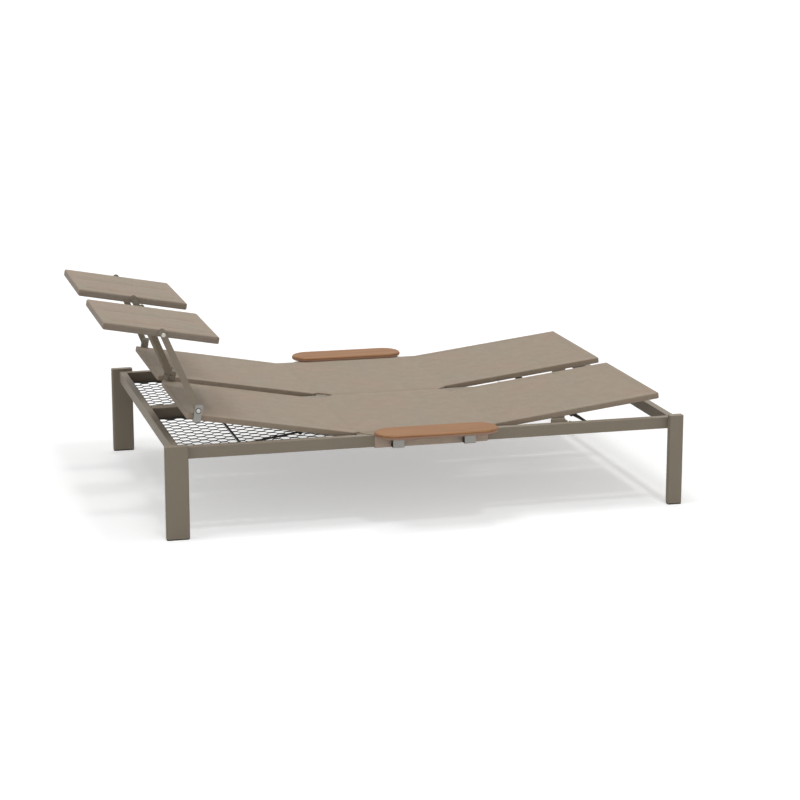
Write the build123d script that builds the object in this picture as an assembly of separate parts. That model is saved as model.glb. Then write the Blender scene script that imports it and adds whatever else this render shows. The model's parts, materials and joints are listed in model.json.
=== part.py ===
from build123d import *
import math
import os

# Double chaise lounger: one low frame that carries two loungers side by side.
# Each lounger has a reclining back, a leg rest that lifts, and a sun canopy on two arms.
# x runs from the head legs to the foot, y = 0 is the middle of the width, z = 0 is the floor.
# Everything is drawn for the far lounger (y above 0), and the near one is its mirror image.

# Frame, in millimetres
frame_length = 2000.0
frame_width = 1420.0
leg_height = 352.0
leg_depth = 30.0
head_leg_width = 87.0
foot_leg_width = 55.0
head_leg_corner = 9.0
foot_leg_corner = 4.0
leg_wall = 2.5
leg_cap_edge = 1.2
glide_height = 5.0
glide_inset = 1.5
glide_plug_height = 18.0
rail_top = 341.0
rail_height = 45.0
rail_wall = 2.0
rail_corner = 3.0
side_rail_width = 28.0
head_rail_setback = 32.0
head_rail_width = 28.0
foot_rail_setback = 16.0
foot_rail_width = 30.0
beam_width = 56.0
middle_gap = 0.5
middle_bolt_radius = 3.0
middle_bolt_head_radius = 6.5
middle_bolt_head = 4.0
middle_bolt_rise = 22.5
middle_bolt_head_gap = 73.0
middle_bolt_seat_shift = 29.0
middle_bolt_foot_gap = 131.0
cross_bar_width = 30.0

# Expanded metal tray under the backs
mesh_thickness = 2.0
mesh_rise = 1.0
mesh_long_way = 67.0
mesh_short_way = 50.0
mesh_strand = 5.0
mesh_bond = 20.0
mesh_margin = 5.0

# Panels: a tube frame inside a fabric sleeve
panel_thickness = 22.0
panel_outer_gap = 16.0
panel_inner_gap = 20.0
panel_corner = 7.0
panel_edge = 3.0
lining_edge = 1.0
tube_edge = 1.5
panel_tail = 9.0
fabric = 2.0
sleeve_slack = 0.3
tube_width = 24.0
tube_wall = 2.5
back_reach = 627.0
back_end_gap = 26.0
back_angle = 10.0
leg_reach = 662.0
leg_end_gap = 23.0
leg_angle = 7.0

# Seat fabric, which bridges the rails and wraps round them
seat_fabric = 6.0
seat_hinge_gap = 16.0
head_notch = 75.0
foot_notch = 44.0
notch_run = 47.0
wrap_thickness = 3.0
rail_fabric = 2.0
wrap_drop = 3.0
wrap_lip = 20.0
seam_gap = 0.5
seat_edge = 1.5

# Hinge pins
pin_radius = 3.5
pin_spacer_radius = 4.8
pin_fit = 0.05
loose_fit = 0.4
side_gap = 0.3

# Stays and their racks
stay_bar_radius = 4.5
stay_leg_radius = 4.0
stay_eye_radius = 6.0
stay_eye_width = 10.0
stay_pin_radius = 3.0
stay_pin_head_radius = 5.0
stay_pin_head = 2.0
stay_pivot_drop = 7.0
stay_end_gap = 3.0
ear_width = 18.0
ear_thickness = 4.0
stay_leg_inset = 40.0
back_stay_pivot = 190.0
back_stay_run = 220.8
back_stay_fall = 33.3
leg_stay_pivot = 314.0
leg_stay_run = 64.1
leg_stay_fall = 35.4
rack_thickness = 12.0
rack_depth = 12.0
rack_play = 1.8
rack_notch_radius = 5.0
rack_notch_pitch = 30.0
back_rack_length = 250.0
back_rack_lead = 18.0
leg_rack_slope = 0.30
leg_rack_foot = 22.0
leg_rack_rise = 104.0
leg_rack_play = 1.0
rack_bracket_width = 55.0
rack_bracket_top = 352.0
rack_bracket_drop = 30.0

# Canopies and their arms
canopy_width = 485.0
canopy_length = 429.0
canopy_thickness = 29.5
canopy_head_reach = 221.0
canopy_angle = 10.3
canopy_pivot_depth = 19.0
canopy_corner = 6.0
canopy_edge = 4.0
canopy_axis_shift = 8.7
arm_length = 300.0
arm_lean = 22.3
arm_width = 24.0
arm_thickness = 5.0
arm_tip = 26.0
arm_tab = 30.0
bolt_rise = 15.5
bracket_from_head = 36.4
bracket_width = 29.0
bracket_top = 22.5
bracket_bottom = 5.0
bracket_plate = 2.0
bracket_corner = 4.0
arm_play = 0.5
bolt_radius = 4.0
bolt_head_radius = 8.0
bolt_head = 3.5
bolt_grip = 22.0
knob_radius = 13.0
knob_length = 15.0
knob_lobes = 6
knob_dip_radius = 4.5
knob_boss_radius = 8.0
knob_boss = 3.0
knob_shaft = 10.0

# Teak armrests on clips
armrest_length = 472.0
armrest_width = 150.0
armrest_thickness = 17.5
armrest_start = 66.5
armrest_round = 8.0
armrest_overlap = 38.0
armrest_gap = 0.3
clip_width = 43.0
clip_wall = 3.0
clip_depth = 35.0
clip_corner = 4.0
clip_inset = 70.0
clip_spacing = 276.0
screw_radius = 2.5
screw_head_radius = 5.0
screw_head = 2.5
screw_length = 16.0
rail_screw_length = 8.0

overrun = 20.0
right_angle = 90.0

# Places that follow from the sizes
rail_outer = frame_width / 2 - leg_depth
rail_inner = rail_outer - side_rail_width
beam_side = beam_width / 2
rail_bottom = rail_top - rail_height
head_rail_inner = head_rail_setback + head_rail_width
foot_rail_outer = frame_length - foot_rail_setback
foot_rail_inner = foot_rail_outer - foot_rail_width
seat_top = rail_top + seat_fabric
hinge_z = seat_top - panel_thickness / 2
back_hinge_x = head_rail_inner + back_end_gap + back_reach
leg_hinge_x = foot_rail_inner - leg_end_gap - leg_reach
panel_outer = rail_inner - panel_outer_gap
panel_inner = beam_side + panel_inner_gap
panel_middle = (panel_outer + panel_inner) / 2
panel_bottom = seat_top - panel_thickness
tube_inset = fabric + sleeve_slack
seat_head = back_hinge_x + seat_hinge_gap
seat_foot = leg_hinge_x - seat_hinge_gap
stay_pivot_z = panel_bottom - stay_pivot_drop
canopy_outer = panel_middle + canopy_width / 2 + canopy_axis_shift
canopy_inner = panel_middle - canopy_width / 2 + canopy_axis_shift
bolt_x = back_hinge_x - back_reach + bracket_from_head
bolt_z = seat_top + bolt_rise
back_stay_x = back_hinge_x - back_stay_pivot
leg_stay_x = leg_hinge_x + leg_stay_pivot
wrap_outer = rail_outer + wrap_thickness
rail_fabric_top = rail_top + rail_fabric
armrest_inner = wrap_outer - armrest_overlap
armrest_x = back_hinge_x + armrest_start
armrest_bottom = rail_fabric_top + armrest_gap


def slab(x, y, z):
    """A block between two limits on each axis."""
    size = Box(x[1] - x[0], y[1] - y[0], z[1] - z[0])
    return Pos((x[0] + x[1]) / 2, (y[0] + y[1]) / 2, (z[0] + z[1]) / 2) * size


def rod_y(x, z, y, radius):
    """A round bar across the frame, from y[0] to y[1]."""
    axis = Plane(origin=(x, y[0], z), x_dir=(1, 0, 0), z_dir=(0, 1, 0))
    return extrude(axis * Circle(radius), y[1] - y[0])


def rod_between(start, end, radius):
    """A round bar between two points."""
    run = Vector(*end) - Vector(*start)
    axis = Plane(origin=start, z_dir=run)
    return extrude(axis * Circle(radius), run.length)


def tilt(shape, x, z, degrees):
    """Turn a shape about an axis along y; a positive angle lifts the head side."""
    return Pos(x, 0, z) * Rot(0, degrees, 0) * Pos(-x, 0, -z) * shape


def back_up(shape):
    return tilt(shape, back_hinge_x, hinge_z, back_angle)


def legs_up(shape):
    return tilt(shape, leg_hinge_x, hinge_z, -leg_angle)


def tilted_place(x, z, pivot_x, pivot_z, degrees):
    """Where a point in the side view goes when it turns about a pivot."""
    turn = math.radians(degrees)
    dx = x - pivot_x
    dz = z - pivot_z
    new_x = pivot_x + dx * math.cos(turn) + dz * math.sin(turn)
    new_z = pivot_z - dx * math.sin(turn) + dz * math.cos(turn)
    return new_x, new_z


bolt_rest_x, bolt_rest_z = tilted_place(bolt_x, bolt_z, back_hinge_x, hinge_z, back_angle)
canopy_pivot_x = bolt_rest_x - arm_length * math.sin(math.radians(arm_lean))
canopy_pivot_z = bolt_rest_z + arm_length * math.cos(math.radians(arm_lean))


def tube_section(width, height, wall, corner):
    """A rectangular tube's cut face, round at its outer corners."""
    outer = RectangleRounded(width, height, corner)
    return outer - Rectangle(width - 2 * wall, height - 2 * wall)


# Frame
def tube_along_x(x, y):
    section = Pos((y[0] + y[1]) / 2, rail_top - rail_height / 2) * tube_section(
        y[1] - y[0], rail_height, rail_wall, rail_corner)
    return extrude(Plane.YZ.offset(x[0]) * section, x[1] - x[0])


def tube_along_y(x, y):
    section = Pos((x[0] + x[1]) / 2, rail_top - rail_height / 2) * tube_section(
        x[1] - x[0], rail_height, rail_wall, rail_corner)
    return extrude(Plane.XZ.offset(-y[1]) * section, y[1] - y[0])


def leg(x, corner):
    """A capped tube that stands on its glide, outside the side rail."""
    width = x[1] - x[0]
    middle = ((x[0] + x[1]) / 2, frame_width / 2 - leg_depth / 2)
    outside = Pos(*middle, glide_height) * extrude(
        RectangleRounded(width, leg_depth, corner), leg_height - glide_height)
    outside = chamfer(outside.edges().group_by(Axis.Z)[-1], leg_cap_edge)
    inside = Pos(*middle, 0) * extrude(
        Rectangle(width - 2 * leg_wall, leg_depth - 2 * leg_wall), leg_height - leg_wall)
    return outside - inside


def glide(x, corner):
    """A foot plate with a plug that fills the end of the leg's tube."""
    width = x[1] - x[0]
    middle = ((x[0] + x[1]) / 2, frame_width / 2 - leg_depth / 2)
    plate = extrude(
        RectangleRounded(width - 2 * glide_inset, leg_depth - 2 * glide_inset, corner - glide_inset),
        glide_height)
    bore = leg_wall + side_gap
    plug = Pos(0, 0, glide_height) * extrude(
        Rectangle(width - 2 * bore, leg_depth - 2 * bore), glide_plug_height)
    return Pos(*middle, 0) * (plate + plug)


def side_rail():
    rail = tube_along_x((head_rail_inner, foot_rail_inner), (rail_inner, rail_outer))
    for screw in clip_screws("rail", 0):
        rail = rail - screw
    return rail


def middle_bolt_places():
    """One bolt before the back hinge, one under the seat and one past the leg rest's hinge."""
    seat_middle = (back_hinge_x + leg_hinge_x) / 2
    places = (back_hinge_x - middle_bolt_head_gap, seat_middle + middle_bolt_seat_shift,
              leg_hinge_x + middle_bolt_foot_gap)
    return [(x, rail_bottom + middle_bolt_rise) for x in places]


def middle_rail():
    """The inner rail of one lounger, which stands beside the other lounger's inner rail."""
    rail = tube_along_x((head_rail_inner, foot_rail_inner), (middle_gap / 2, beam_side))
    for x, z in middle_bolt_places():
        rail = rail - rod_y(x, z, (-overrun, beam_side + overrun), middle_bolt_radius + pin_fit)
    return rail


def middle_bolts():
    """Hexagon bolts that hold the two inner rails together."""
    bolts = []
    for x, z in middle_bolt_places():
        bolt = rod_y(x, z, (-beam_side, beam_side), middle_bolt_radius)
        for face in (-beam_side - middle_bolt_head, beam_side):
            axis = Plane(origin=(x, face, z), x_dir=(1, 0, 0), z_dir=(0, 1, 0))
            bolt = bolt + extrude(axis * RegularPolygon(middle_bolt_head_radius, 6), middle_bolt_head)
        bolts.append(bolt)
    return bolts


def mesh():
    """Expanded metal: one sheet with a staggered field of six-sided gaps."""
    x_low = head_rail_inner
    x_high = seat_head
    half_long = mesh_long_way / 2
    half_short = mesh_short_way / 2
    tip = half_long - mesh_bond / 2
    crown = half_short - mesh_strand
    gap = Polygon(
        (-tip, 0), (-mesh_bond / 2, -crown), (mesh_bond / 2, -crown),
        (tip, 0), (mesh_bond / 2, crown), (-mesh_bond / 2, crown))
    rows = int((rail_inner - beam_side - 2 * mesh_margin - 2 * crown) / half_short) + 1
    columns = int((x_high - x_low - 2 * mesh_margin - 2 * tip) / mesh_long_way) + 1
    first_x = (x_low + x_high - (columns - 1) * mesh_long_way) / 2
    first_y = (rail_inner + beam_side - (rows - 1) * half_short) / 2
    places = []
    for row in range(rows):
        odd = row % 2
        for column in range(columns - odd):
            x = first_x + column * mesh_long_way + odd * half_long
            places.append(Location((x, first_y + row * half_short, 0)))
    gaps = [place * gap for place in places]
    sheet = Pos((x_low + x_high) / 2, (beam_side + rail_inner) / 2) * Rectangle(
        x_high - x_low, rail_inner - beam_side)
    holes = [hole.face().outer_wire() for hole in gaps]
    face = sheet.face().make_holes(holes)
    return Pos(0, 0, rail_bottom + mesh_rise) * extrude(face, mesh_thickness)


# Panels
def rounded_block(x, y, z, corner, edge):
    """A flat block with rounded corners in plan and softened top and bottom edges."""
    plan = Pos((x[0] + x[1]) / 2, (y[0] + y[1]) / 2, z[0]) * RectangleRounded(
        x[1] - x[0], y[1] - y[0], corner)
    block = extrude(plan, z[1] - z[0])
    rims = block.edges().group_by(Axis.Z)[0] + block.edges().group_by(Axis.Z)[-1]
    return fillet(rims, edge)


def sleeve(x, y, z, corner, edge):
    """The fabric cover, a thin closed skin."""
    outside = rounded_block(x, y, z, corner, edge)
    inside = rounded_block(
        (x[0] + fabric, x[1] - fabric), (y[0] + fabric, y[1] - fabric), (z[0] + fabric, z[1] - fabric),
        corner - fabric, lining_edge)
    return outside - inside


def ring(x, y, z, corner, bars):
    """The frame in a sleeve: four channel sides, open below, and solid cross bars at the x given."""
    inset = tube_inset
    low = z[0] + inset
    high = z[1] - inset
    outer_x = (x[0] + inset, x[1] - inset)
    outer_y = (y[0] + inset, y[1] - inset)
    outline = rounded_block(outer_x, outer_y, (low, high), corner - inset, tube_edge)
    cut = (low - overrun, high + overrun)
    inner_x = (outer_x[0] + tube_width, outer_x[1] - tube_width)
    inner_y = (outer_y[0] + tube_width, outer_y[1] - tube_width)
    body = outline - slab(inner_x, inner_y, cut)
    groove_z = (low - overrun, high - tube_wall)
    groove_y = (tube_wall, tube_width - tube_wall)
    run = (inner_x[0] + tube_width, inner_x[1] - tube_width)
    for near in (outer_y[0] + groove_y[0], outer_y[1] - groove_y[1]):
        body = body - slab(run, (near, near + groove_y[1] - groove_y[0]), groove_z)
    for bar_x in bars:
        bar = (bar_x - tube_width / 2, bar_x + tube_width / 2)
        body = body + slab(bar, (inner_y[0] - tube_wall, inner_y[1] + tube_wall), (low, high))
    return body


def pin_bores(x, z, radius):
    return rod_y(x, z, (panel_inner - overrun, panel_inner + tube_inset + tube_width + overrun), radius) + rod_y(
        x, z, (panel_outer - tube_inset - tube_width - overrun, panel_outer + overrun), radius)


def ear_slots(pivot_x):
    """Slots in the sleeve's underside for the two stay ears."""
    reach = ear_width / 2 + loose_fit
    slots = []
    for y in ear_places():
        slots.append(slab((pivot_x - reach, pivot_x + reach), (y[0] - loose_fit, y[1] + loose_fit),
                          (panel_bottom - overrun, panel_bottom + tube_inset)))
    return slots


def ear_places():
    """Where the two ear plates stand across the panel."""
    outer = panel_outer - stay_leg_inset + stay_eye_width / 2 + side_gap
    inner = panel_inner + stay_leg_inset - stay_eye_width / 2 - side_gap
    return [(inner - ear_thickness, inner), (outer, outer + ear_thickness)]


def stay_ears(pivot_x):
    """Two plates under a panel's frame, each with a headed pin that carries the stay."""
    ears = []
    top = panel_bottom + tube_inset
    for y, inward in zip(ear_places(), (1, -1)):
        plate = slab((pivot_x - ear_width / 2, pivot_x + ear_width / 2), y, (stay_pivot_z, top))
        plate = plate + rod_y(pivot_x, stay_pivot_z, y, ear_width / 2 - loose_fit)
        start = y[1] if inward > 0 else y[0]
        grip = stay_eye_width + 2 * side_gap
        pin = sorted((start, start + inward * grip))
        head = sorted((start + inward * grip, start + inward * (grip + stay_pin_head)))
        plate = plate + rod_y(pivot_x, stay_pivot_z, pin, stay_pin_radius)
        ears.append(plate + rod_y(pivot_x, stay_pivot_z, head, stay_pin_head_radius))
    return ears


def panel_parts(x, hinge_x, pivot_x):
    """A seat-high panel: its sleeve, its frame and its stay ears, before it is tilted."""
    y = (panel_inner, panel_outer)
    z = (panel_bottom, seat_top)
    cover = sleeve(x, y, z, panel_corner, panel_edge)
    cover = cover - pin_bores(hinge_x, hinge_z, pin_radius + loose_fit)
    for slot in ear_slots(pivot_x):
        cover = cover - slot
    frame = ring(x, y, z, panel_corner, [pivot_x]) - pin_bores(hinge_x, hinge_z, pin_radius + pin_fit)
    return cover, frame, stay_ears(pivot_x)


def stay(pivot_x, run, fall):
    """A bent wire: an eye and a leg at each side, joined by a cross bar; run is signed along x."""
    bar_x = pivot_x + run
    bar_z = stay_pivot_z - fall
    bar_y = (beam_side + stay_end_gap, rail_inner - stay_end_gap)
    wire = rod_y(bar_x, bar_z, bar_y, stay_bar_radius)
    bores = []
    for middle in (panel_inner + stay_leg_inset, panel_outer - stay_leg_inset):
        eye_y = (middle - stay_eye_width / 2, middle + stay_eye_width / 2)
        wire = wire + rod_between((pivot_x, middle, stay_pivot_z), (bar_x, middle, bar_z), stay_leg_radius)
        wire = wire + rod_y(pivot_x, stay_pivot_z, eye_y, stay_eye_radius)
        bores.append(rod_y(pivot_x, stay_pivot_z, eye_y, stay_pin_radius + pin_fit))
    for bore in bores:
        wire = wire - bore
    return wire


def stay_at_rest(pivot_x, run, fall, hinge_x, degrees):
    """The stay drawn level with the frame, moved to where the tilted panel carries it."""
    x, z = tilted_place(pivot_x, stay_pivot_z, hinge_x, hinge_z, degrees)
    return Pos(x - pivot_x, 0, z - stay_pivot_z) * stay(pivot_x, run, fall)


def hinge_pins():
    """Two pins for each panel, from the beam and from the side rail, each with its spacer."""
    pins = []
    for x in (back_hinge_x, leg_hinge_x):
        inner = rod_y(x, hinge_z, (beam_side, panel_inner - side_gap), pin_spacer_radius)
        inner = inner + rod_y(x, hinge_z, (beam_side, panel_inner + tube_inset + tube_width), pin_radius)
        outer = rod_y(x, hinge_z, (panel_outer + side_gap, rail_inner), pin_spacer_radius)
        outer = outer + rod_y(x, hinge_z, (panel_outer - tube_inset - tube_width, rail_inner), pin_radius)
        pins += [inner, outer]
    return pins


# Stay racks
def rack_sides():
    """The two places of a rack across the bay: on the beam and on the side rail."""
    return [(beam_side, beam_side + rack_thickness), (rail_inner - rack_thickness, rail_inner)]


def back_bar_place():
    """Where the cross bar of the back's stay lies at rest."""
    x, z = tilted_place(back_stay_x, stay_pivot_z, back_hinge_x, hinge_z, back_angle)
    return x - back_stay_run, z - back_stay_fall


def leg_bar_place():
    """Where the cross bar of the leg rest's stay lies at rest."""
    x, z = tilted_place(leg_stay_x, stay_pivot_z, leg_hinge_x, hinge_z, -leg_angle)
    return x + leg_stay_run, z - leg_stay_fall


def back_racks():
    """A notched bar at each side, under the cross bar of the back's stay."""
    bar_x, bar_z = back_bar_place()
    start = bar_x - back_rack_lead
    top = bar_z - stay_bar_radius - rack_play
    racks = []
    for y in rack_sides():
        bar = slab((start, start + back_rack_length), y, (top - rack_depth, top))
        notches = int((back_rack_length - back_rack_lead) / rack_notch_pitch) + 1
        for number in range(notches):
            x = bar_x + number * rack_notch_pitch
            bar = bar - rod_y(x, top, (y[0] - overrun, y[1] + overrun), rack_notch_radius)
        racks.append(bar)
    return racks


def leg_racks():
    """A notched bar that climbs towards the hinge and ends in a bracket on the rail."""
    bar_x, bar_z = leg_bar_place()
    low_x = bar_x + leg_rack_foot
    high_x = bar_x - leg_rack_rise
    drop = (stay_bar_radius + leg_rack_play) * math.hypot(1, leg_rack_slope)

    def top_at(x):
        return bar_z - drop + (bar_x - x) * leg_rack_slope

    racks = []
    bracket_x = high_x - rack_bracket_width
    foot_z = rail_top - rack_bracket_drop
    for y in rack_sides():
        side = Polyline(
            (bracket_x, rack_bracket_top), (high_x, rack_bracket_top), (high_x, top_at(high_x)),
            (low_x, top_at(low_x)), (low_x, top_at(low_x) - rack_depth),
            (high_x, top_at(high_x) - rack_depth), (high_x, foot_z), (bracket_x, foot_z), close=True)
        face = Plane.XZ.offset(-y[1]) * make_face(side)
        bar = extrude(face, y[1] - y[0])
        notches = int((leg_rack_rise - rack_notch_radius) / rack_notch_pitch) + 1
        for number in range(notches):
            x = bar_x - number * rack_notch_pitch
            bar = bar - rod_y(x, top_at(x), (y[0] - overrun, y[1] + overrun), rack_notch_radius)
        racks.append(bar)
    return racks


# Seat fabric
def seat_sling():
    """Fabric over the rails and cross bars, thinner over the side rail and wrapped round it."""
    wide_x = (back_hinge_x + head_notch, leg_hinge_x - foot_notch)
    narrow_x = (wide_x[0] - notch_run, wide_x[1] + notch_run)
    beside = (panel_inner - side_gap, panel_outer + side_gap)
    plan = Polyline(
        (seat_head, panel_inner), (narrow_x[0], panel_inner), (wide_x[0], seam_gap),
        (wide_x[1], seam_gap), (narrow_x[1], beside[0]), (seat_foot, beside[0]),
        (seat_foot, beside[1]), (narrow_x[1], beside[1]), (wide_x[1], wrap_outer),
        (wide_x[0], wrap_outer), (narrow_x[0], panel_outer), (seat_head, panel_outer), close=True)
    sheet = Pos(0, 0, rail_top) * extrude(make_face(plan), seat_fabric)
    skirt = slab(wide_x, (rail_outer, wrap_outer), (rail_bottom - wrap_drop, seat_top))
    lip = slab(wide_x, (rail_outer - wrap_lip, wrap_outer), (rail_bottom - wrap_drop, rail_bottom))
    cloth = sheet + skirt + lip
    slope = Polyline(
        (panel_outer, seat_top), (armrest_inner, rail_fabric_top), (wrap_outer + overrun, rail_fabric_top),
        (wrap_outer + overrun, seat_top + overrun), (panel_outer, seat_top + overrun), close=True)
    cloth = cloth - extrude(Plane.YZ.offset(seat_head) * make_face(slope), frame_length)
    shoulder = cloth.edges().filter_by(Axis.X).group_by(Axis.Y)[-1].sort_by(Axis.Z)[-1]
    cloth = fillet(shoulder, seat_edge)
    for screw in clip_screws("rail", 0):
        cloth = cloth - screw
    return cloth


# Armrests
def armrest():
    """A teak board with round ends and soft edges."""
    plan = Pos(armrest_x + armrest_length / 2, armrest_inner + armrest_width / 2, armrest_bottom) * (
        SlotOverall(armrest_length, armrest_width))
    board = extrude(plan, armrest_thickness)
    rims = board.edges().group_by(Axis.Z)[0] + board.edges().group_by(Axis.Z)[-1]
    board = fillet(rims, armrest_round)
    for screw in clip_screws("board", 0):
        board = board - screw
    return board


def clip_starts():
    first = armrest_x + clip_inset
    return [first, first + clip_spacing]


def clip_screws(which, head_radius):
    """The screws of both clips: up into the board, and through the clip's back into the rail."""
    screws = []
    for start in clip_starts():
        x = start + clip_width / 2
        if which == "board":
            place = (x, wrap_outer + clip_depth / 2, armrest_bottom - clip_wall)
            axis = Plane(origin=place, z_dir=(0, 0, 1))
            length = screw_length
        else:
            place = (x, wrap_outer + clip_wall, (rail_bottom + armrest_bottom) / 2)
            axis = Plane(origin=place, z_dir=(0, -1, 0))
            length = rail_screw_length + clip_wall
        screw = extrude(axis * Circle(screw_radius), length)
        if head_radius:
            screw = screw + extrude(axis * Circle(head_radius), -screw_head)
        screws.append(screw)
    return screws


def armrest_clips():
    """Short lengths of rectangular tube between the rail's side and the board."""
    clips = []
    for start in clip_starts():
        section = Pos(wrap_outer + clip_depth / 2, (rail_bottom + armrest_bottom) / 2) * tube_section(
            clip_depth, armrest_bottom - rail_bottom, clip_wall, clip_corner)
        clip = extrude(Plane.YZ.offset(start) * section, clip_width)
        for screw in clip_screws("rail", 0) + clip_screws("board", 0):
            clip = clip - screw
        clips.append(clip)
    return clips


# Canopy
def canopy_layers():
    """Where the parts of each arm lie across the lounger, from the panel's edge outwards."""
    inner_plate = side_gap
    tab = inner_plate + bracket_plate + arm_play
    outer_plate = tab + arm_thickness + arm_play
    return inner_plate, tab, outer_plate, outer_plate + bracket_plate


def canopy_bracket(side):
    """A channel on the edge of the back: the arm stands between its two plates."""
    inner_plate, tab, outer_plate, outside = canopy_layers()
    edge = panel_outer if side > 0 else panel_inner
    y = sorted((edge + side * inner_plate, edge + side * outside))
    slot = sorted((edge + side * (inner_plate + bracket_plate), edge + side * outer_plate))
    x = (bolt_x - bracket_width / 2, bolt_x + bracket_width / 2)
    z = (panel_bottom - bracket_bottom, bolt_z + bracket_top)
    channel = slab(x, y, z)
    tops = channel.edges().filter_by(Axis.Y).group_by(Axis.Z)[-1]
    channel = fillet(tops, bracket_corner)
    channel = channel - slab((x[0] - overrun, x[1] + overrun), slot, (z[0] + bracket_plate, z[1] + overrun))
    return channel - rod_y(bolt_x, bolt_z, (y[0] - overrun, y[1] + overrun), bolt_radius + pin_fit)


def arm_sides(side):
    """The middle of an arm's thickness at the back's edge and at the canopy's edge."""
    inner_plate, tab, outer_plate, outside = canopy_layers()
    edge = panel_outer if side > 0 else panel_inner
    canopy_edge = canopy_outer if side > 0 else canopy_inner
    low = edge + side * (tab + arm_thickness / 2)
    high = canopy_edge + side * (arm_play + side_gap + arm_thickness / 2)
    return low, high


def arm_local(side):
    """One arm laid along x from its lower bolt at the origin, cranked sideways along y."""
    low, high = arm_sides(side)
    half = arm_thickness / 2
    end = arm_length + arm_tip
    crank = [(-arm_width, low), (arm_tab, low), (arm_length - arm_tab, high), (end + arm_width, high)]
    near_edge = [(x, y - half) for x, y in crank]
    far_edge = [(x, y + half) for x, y in reversed(crank)]
    strip = make_face(Polyline(*near_edge, *far_edge, close=True))
    strip = Pos(0, 0, -arm_width / 2) * extrude(strip, arm_width)
    outline = Plane.XZ * Pos((end - arm_width / 2) / 2, 0) * SlotOverall(end + arm_width / 2, arm_width)
    return strip & extrude(outline, frame_width, both=True)


def place_arm(shape):
    """Stand an arm up at its lower bolt, leaning towards the head."""
    return Pos(bolt_rest_x, 0, bolt_rest_z) * Rot(0, -(right_angle + arm_lean), 0) * shape


def canopy_arm(side):
    bores = [rod_y(0, 0, (-frame_width, frame_width), bolt_radius),
             rod_y(arm_length, 0, (-frame_width, frame_width), bolt_radius)]
    arm = arm_local(side)
    for bore in bores:
        arm = arm - bore
    return place_arm(arm)


def bolt(x, z, head_y, tip_y):
    """A round-headed bolt along y; its head stands outside head_y."""
    away = 1 if head_y > tip_y else -1
    shaft = rod_y(x, z, sorted((head_y, tip_y)), bolt_radius)
    head = rod_y(x, z, sorted((head_y, head_y + away * bolt_head)), bolt_head_radius)
    rim = head.edges().filter_by(GeomType.CIRCLE).sort_by(Axis.Y)
    rim = rim[-1] if away > 0 else rim[0]
    return shaft + fillet(rim, bolt_head / 2)


def arm_bolts():
    """The pivot bolts of one canopy: two in the brackets and two in the canopy's sides."""
    inner_plate, tab, outer_plate, outside = canopy_layers()
    bolts = []
    for side, edge in ((1, panel_outer), (-1, panel_inner)):
        tip = edge - side * (knob_shaft + side_gap)
        bolts.append(bolt(bolt_rest_x, bolt_rest_z, edge + side * outside, tip))
    outer_face = arm_sides(1)[1] + arm_thickness / 2
    bolts.append(bolt(canopy_pivot_x, canopy_pivot_z, outer_face, canopy_outer - bolt_grip))
    inner_face = arm_sides(-1)[1] - arm_thickness / 2
    stud = (inner_face - knob_shaft - side_gap, canopy_inner + bolt_grip)
    bolts.append(rod_y(canopy_pivot_x, canopy_pivot_z, stud, bolt_radius))
    return bolts


def knob(x, z, face_y, away):
    """A lobed clamp knob whose boss faces face_y; away is the side that it stands on."""
    start = face_y + away * side_gap
    boss_end = start + away * knob_boss
    end = start + away * knob_length
    grip = rod_y(x, z, sorted((boss_end, end)), knob_radius)
    for number in range(knob_lobes):
        angle = 2 * math.pi * number / knob_lobes
        dip_x = x + knob_radius * math.cos(angle)
        dip_z = z + knob_radius * math.sin(angle)
        grip = grip - rod_y(dip_x, dip_z, sorted((boss_end - away * overrun, end + away * overrun)),
                            knob_dip_radius)
    grip = grip + rod_y(x, z, sorted((start, boss_end)), knob_boss_radius)
    bore = sorted((start - away * side_gap, start + away * (knob_shaft + side_gap)))
    return grip - rod_y(x, z, bore, bolt_radius + pin_fit)


def canopy_parts():
    """The canopy's sleeve and frame, level and then tilted about its own bolts."""
    top = canopy_pivot_z + canopy_pivot_depth
    x = (canopy_pivot_x - canopy_head_reach, canopy_pivot_x - canopy_head_reach + canopy_length)
    y = (canopy_inner, canopy_outer)
    z = (top - canopy_thickness, top)
    holes = (y[0] - overrun, y[1] + overrun)
    cover = sleeve(x, y, z, canopy_corner, canopy_edge)
    cover = cover - rod_y(canopy_pivot_x, canopy_pivot_z, holes, bolt_radius + loose_fit)
    frame = ring(x, y, z, canopy_corner, [canopy_pivot_x])
    frame = frame - rod_y(canopy_pivot_x, canopy_pivot_z, holes, bolt_radius + pin_fit)
    return (tilt(cover, canopy_pivot_x, canopy_pivot_z, canopy_angle),
            tilt(frame, canopy_pivot_x, canopy_pivot_z, canopy_angle))


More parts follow.
